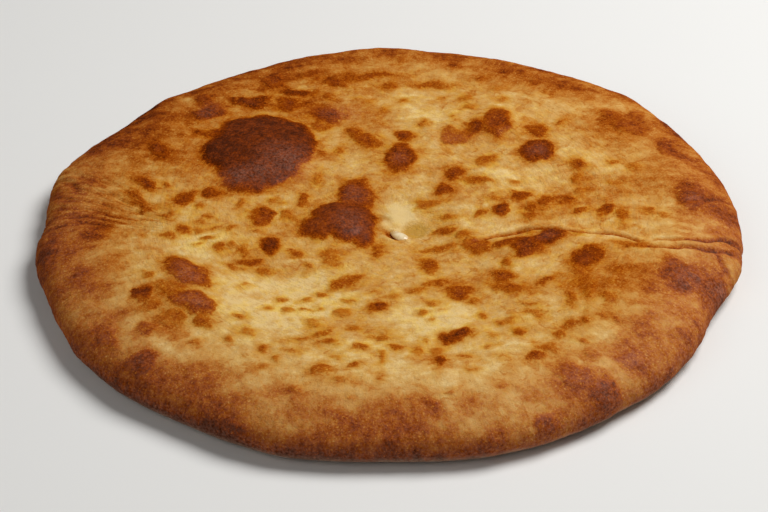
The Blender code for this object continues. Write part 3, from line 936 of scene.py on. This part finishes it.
# The fine pale specks on the browned skin are painted glints: highlights of tiny bubbles, lightened
# into the colour.
pale = between(tree, speckle(tree, place, 0.8, 2, 0.6), 0.54, 0.74, 0.0, -0.28)
pale = sum_of(tree, "MULTIPLY", pale, between(tree, spotted, 0.38, 0.62))
pale = sum_of(tree, "MULTIPLY", pale, between(tree, blister, 0.0, 1.0, 1.0, 0.35))
toasted = sum_of(tree, "ADD", spotted, sum_of(tree, "MULTIPLY_ADD", fine, 0.58, pale))
toasted = sum_of(tree, "MULTIPLY_ADD", ripple, 0.22, toasted)
from_fan = put(tree, "VectorMath", {0: flat, 1: (*FAN, 0)}, operation="SUBTRACT").outputs[0]
fan_out = put(tree, "VectorMath", {0: from_fan}, operation="NORMALIZE").outputs[0]
fan_out = put(tree, "VectorMath", {0: fan_out, "Scale": 62.0}, operation="SCALE").outputs[0]
along = put(tree, "CombineXYZ", {"Z": sum_of(tree, "MULTIPLY", away, 0.15)}).outputs[0]
pleats = put(tree, "VectorMath", {0: fan_out, 1: along}, operation="ADD").outputs[0]
pleats = sum_of(tree, "SUBTRACT", speckle(tree, pleats, 1.6, 2, 0.6), 0.5)
pleats = sum_of(tree, "MULTIPLY", pleats, field(tree, "wrinkle"))
toasted = sum_of(tree, "MULTIPLY_ADD", pleats, 0.55, toasted)

colour = use_group(tree, toast_colour, {"Toast": toasted}).outputs["Color"]
fringe = between(tree, frayed, -3.2, -0.6)
ochre = between(tree, speckle(tree, place, 4.5, 3, 0.6, 1.0), 0.42, 0.64, 0.0, 0.50)
ochre = sum_of(tree, "MULTIPLY_ADD", fringe, 0.35, ochre)
ochre = sum_of(tree, "MULTIPLY", ochre, between(tree, away, 85, 125, 1.0, 0.2))
orange = sum_of(tree, "MULTIPLY", spot, between(tree, blister, 0.0, 1.0, 0.45, 0.12))
ochre = sum_of(tree, "ADD", ochre, orange)
buttery = put(tree, "Mix", {0: ochre, 6: colour, 7: (1.05, 0.97, 0.45, 1)}, data_type="RGBA",
              blend_type="MULTIPLY").outputs[2]
colour = buttery
torn_edge = sum_of(tree, "MULTIPLY_ADD", speckle(tree, place, 1.6, 3), 0.8, -0.4)
for name, tint, strength in (("pale", PALE_COLOUR, 0.7), ("soaked", SOAKED_COLOUR, 0.85)):
    share = between(tree, sum_of(tree, "ADD", field(tree, name), torn_edge), 0.1, 0.9, 0.0, strength)
    share = sum_of(tree, "MULTIPLY", share, between(tree, spot, 0.0, 0.4, 1.0, 0.0))
    colour = blend_colour(tree, share, colour, tint)
# The sheen and flour field, with a little more inside the spots, lays a pale rosy colour over the
# crust: painted sheen on the dark skin, and flour on the rim.
uneven = between(tree, speckle(tree, place, 1.2, 3, 0.7), 0.30, 0.70, 0.1, 1.9)
sheen_and_flour_amount = sum_of(tree, "ADD", field(tree, "sheen_and_flour"), between(tree, frayed, 0.8, 4.0, 0.0, 0.015))
sheen_and_flour_amount = sum_of(tree, "MULTIPLY", sheen_and_flour_amount, uneven)
colour = blend_colour(tree, sheen_and_flour_amount, colour, SHEEN_AND_FLOUR_COLOUR)
dusted = use_group(tree, flour, {"Place": place, "Height": height, "Amount": 0.9})
colour = blend_colour(tree, dusted.outputs["Mask"], colour, FLOUR_COLOUR)
tree.links.new(colour, shader.inputs["Base Color"])

roughness = between(tree, toasted, 0.2, 0.9, 0.44, 0.36)
roughness = sum_of(tree, "ADD", roughness, sum_of(tree, "MULTIPLY", dusted.outputs["Mask"], 0.3))
tree.links.new(roughness, shader.inputs["Roughness"])
coat = sum_of(tree, "MULTIPLY_ADD", blister, 0.10, sum_of(tree, "MULTIPLY", spot, 0.05))
tree.links.new(coat, shader.inputs["Coat Weight"])
shader.inputs["Coat Roughness"].default_value = 0.32
shader.inputs["Specular IOR Level"].default_value = 0.0

relief = sum_of(tree, "MULTIPLY_ADD", spot, 0.5, grained.outputs["Height"])
relief = sum_of(tree, "MULTIPLY_ADD", streak, 0.8, relief)
relief = sum_of(tree, "MULTIPLY_ADD", ripple, 1.2, relief)
relief = sum_of(tree, "MULTIPLY_ADD", pleats, 2.0, relief)
relief = sum_of(tree, "MULTIPLY", relief, between(tree, field(tree, "pale"), 0.0, 1.0, 1.0, 0.4))
bump = put(tree, "Bump", {"Strength": 0.8, "Distance": 0.6 * MM, "Height": relief})
tree.links.new(bump.outputs[0], shader.inputs["Normal"])
print("top crust:", len(tree.nodes), "nodes")

# %% [markdown]
# ## The underside
# The base bakes against the pan. It takes an even gold with darker rings where it touched the metal,
# and keeps a film of flour. It has few corners, so it reads no fields: noise makes its pattern.

# %% The underside's recipe
base = bpy.data.materials.new("pan_side_crust")
base.use_nodes = True
tree = base.node_tree
shader = tree.nodes["Principled BSDF"]
place = millimetres(tree)
grained = use_group(tree, skin_grain, {"Place": place})
scorched = between(tree, speckle(tree, place, 16, 4, 0.6), 0.42, 0.66, 0.34, 0.78)
toasted = sum_of(tree, "ADD", scorched, grained.outputs["Mottle"])
toasted = sum_of(tree, "MULTIPLY_ADD", grained.outputs["Grain"], 0.6, toasted)
colour = use_group(tree, toast_colour, {"Toast": toasted}).outputs["Color"]
dusted = use_group(tree, flour, {"Place": place, "Height": 0.0, "Amount": 0.55})
colour = blend_colour(tree, dusted.outputs["Mask"], colour, FLOUR_COLOUR)
tree.links.new(colour, shader.inputs["Base Color"])
shader.inputs["Roughness"].default_value = 0.7
bump = put(tree, "Bump", {"Strength": 0.5, "Distance": 0.4 * MM, "Height": grained.outputs["Height"]})
tree.links.new(bump.outputs[0], shader.inputs["Normal"])

crust.data.materials.append(top)
crust.data.materials.append(base)
for face in crust.data.polygons:
    face.material_index = int(is_base(face))
print("underside:", sum(face.material_index for face in crust.data.polygons), "faces")

# %% [markdown]
# ## The cheese in the steam vent
# At the centre the dough tore as the steam got out. The hollow is filled nearly level with melted
# brine cheese, smooth, moist and a little see-through, and a thin lip of torn dough stands at its
# near left side. The cheese starts as a sphere, pressed flat and lumpy. The lip starts as a grid that
# is curled, thickened and rounded.

# %% The melted cheese
CHEESE_SPREAD = 1.1  # how far it reaches under the edge of the hollow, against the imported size
CHEESE_THICK = 3.2 * MM
CHEESE_PLACE = Vector((vent.x - 0.8, vent.y + 1.0, brim - 2.9)) * MM

bpy.ops.object.select_all(action="DESELECT")
cheese_size = (vent_high - vent_low) * CHEESE_SPREAD
bpy.ops.mesh.primitive_uv_sphere_add(segments=48, ring_count=24, radius=0.5)
cheese = bpy.context.object
cheese.name = "melted_cheese"
bpy.ops.object.mode_set(mode="EDIT")
bpy.ops.transform.resize(value=(cheese_size.x, cheese_size.y, CHEESE_THICK))
bpy.ops.transform.translate(value=CHEESE_PLACE)
bpy.ops.object.mode_set(mode="OBJECT")
push_clouds(cheese, 3 * MM, 0.6 * MM, np.ones(len(cheese.data.vertices)), "melted_lumps")
bpy.ops.object.shade_smooth()
print("cheese top at", round(max(corners(cheese)[:, 2]), 1), "mm")

# %% The torn lip
LIP_LENGTH, LIP_WIDTH, LIP_TURN = 11.8, 6.6, math.radians(-52)  # mm, mm
LIP_PLACE = Vector((vent.x - 7.5, vent.y - 3.2, brim - 0.05))

bpy.ops.mesh.primitive_grid_add(x_subdivisions=16, y_subdivisions=8, size=2)
lip = bpy.context.object
lip.name = "torn_lip"
cos, sin = math.cos(LIP_TURN), math.sin(LIP_TURN)
for corner in lip.data.vertices:
    u, v = corner.co.x, corner.co.y  # from -1 to 1 along and across
    wide = (1 - u * u) ** 0.5 * (0.58 + 0.42 * u) + 0.04
    along = u * LIP_LENGTH / 2
    across = v * wide * LIP_WIDTH / 2 + 0.9 * u * u
    arch = 1.3 * wide * (1 - 0.6 * v * v + 0.25 * v) - 0.7 * (1 - wide)
    turned = Vector((along * cos - across * sin, along * sin + across * cos, arch))
    corner.co = (LIP_PLACE + turned) * MM
modify(lip, "SOLIDIFY", thickness=0.6 * MM, offset=-1)
modify(lip, "SUBSURF", levels=2, render_levels=2)
bpy.ops.object.shade_smooth()
print("lip:", [round(v / MM, 1) for v in lip.dimensions], "mm")

# %% The recipes of the cheese and of the lip
melted = bpy.data.materials.new("melted_cheese")
melted.use_nodes = True
tree = melted.node_tree
shader = tree.nodes["Principled BSDF"]
place = millimetres(tree)
from_vent = put(tree, "VectorMath", {0: place, 1: tuple(vent)}, operation="SUBTRACT").outputs[0]
from_vent = put(tree, "VectorMath", {0: from_vent, 1: (1, 1, 0)}, operation="MULTIPLY").outputs[0]
outer = put(tree, "VectorMath", {0: from_vent}, operation="LENGTH").outputs["Value"]
outer = sum_of(tree, "MULTIPLY_ADD", speckle(tree, place, 2.2, 3), 5.0, outer)
colour = blend_colour(tree, between(tree, outer, 4.5, 9.5), linear(190, 142, 56), linear(200, 152, 76))
tree.links.new(colour, shader.inputs["Base Color"])
shader.inputs["Roughness"].default_value = 0.32
shader.inputs["Subsurface Weight"].default_value = 0.12
shader.inputs["Subsurface Radius"].default_value = (1.0, 0.6, 0.3)
shader.inputs["Subsurface Scale"].default_value = 1.5 * MM
bump = put(tree, "Bump", {"Strength": 0.3, "Distance": 0.3 * MM, "Height": speckle(tree, place, 1.0)})
tree.links.new(bump.outputs[0], shader.inputs["Normal"])
cheese.data.materials.append(melted)

torn = bpy.data.materials.new("torn_dough")
torn.use_nodes = True
tree = torn.node_tree
shader = tree.nodes["Principled BSDF"]
place = millimetres(tree)
height = put(tree, "SeparateXYZ", {0: place}).outputs["Z"]
height = sum_of(tree, "ADD", height, speckle(tree, place, 1.6, 3))
# The higher the lip stands, the nearer its colour is to white: a painted highlight on its top, over the
# pale torn dough.
highlit_top = between(tree, height, brim + 0.35, brim + 1.35)
colour = blend_colour(tree, highlit_top, linear(204, 162, 98), linear(244, 224, 182))
tree.links.new(colour, shader.inputs["Base Color"])
shader.inputs["Roughness"].default_value = 0.3
shader.inputs["Coat Weight"].default_value = 0.3
bump = put(tree, "Bump", {"Strength": 0.3, "Distance": 0.2 * MM, "Height": speckle(tree, place, 0.7)})
tree.links.new(bump.outputs[0], shader.inputs["Normal"])
lip.data.materials.append(torn)
print("cheese and lip ready")

# %% [markdown]
# ## The table
# The bread stands on nothing but a plain pale table top, which is not part of it.

# %% A plain pale floor
bpy.ops.mesh.primitive_plane_add(size=8, location=(0, 0, -0.1 * MM))
floor = bpy.context.object
floor.name = "table_top"
bpy.ops.object.transform_apply(location=True)
pale = bpy.data.materials.new("pale_table")
pale.use_nodes = True
tree = pale.node_tree
shader = tree.nodes["Principled BSDF"]
shade = speckle(tree, millimetres(tree), 300, 2)
colour = blend_colour(tree, shade, linear(228, 227, 224), linear(232, 231, 228))
tree.links.new(colour, shader.inputs["Base Color"])
shader.inputs["Roughness"].default_value = 0.8
floor.data.materials.append(pale)
print("table top laid")

# %% [markdown]
# ## Joining the pieces to the imported model
# The bread has no joints, so everything rides on its one body. The fine crust stands for the packed
# one, and so does the cheese.

# %% What each piece rides on and stands for
for piece in (crust, cheese, lip):
    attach(piece, "root")
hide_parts("crust")
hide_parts("vent_cheese")
for piece in (crust, cheese, lip):
    print(piece.name, sum(len(face.vertices) - 2 for face in piece.data.polygons), "triangles")
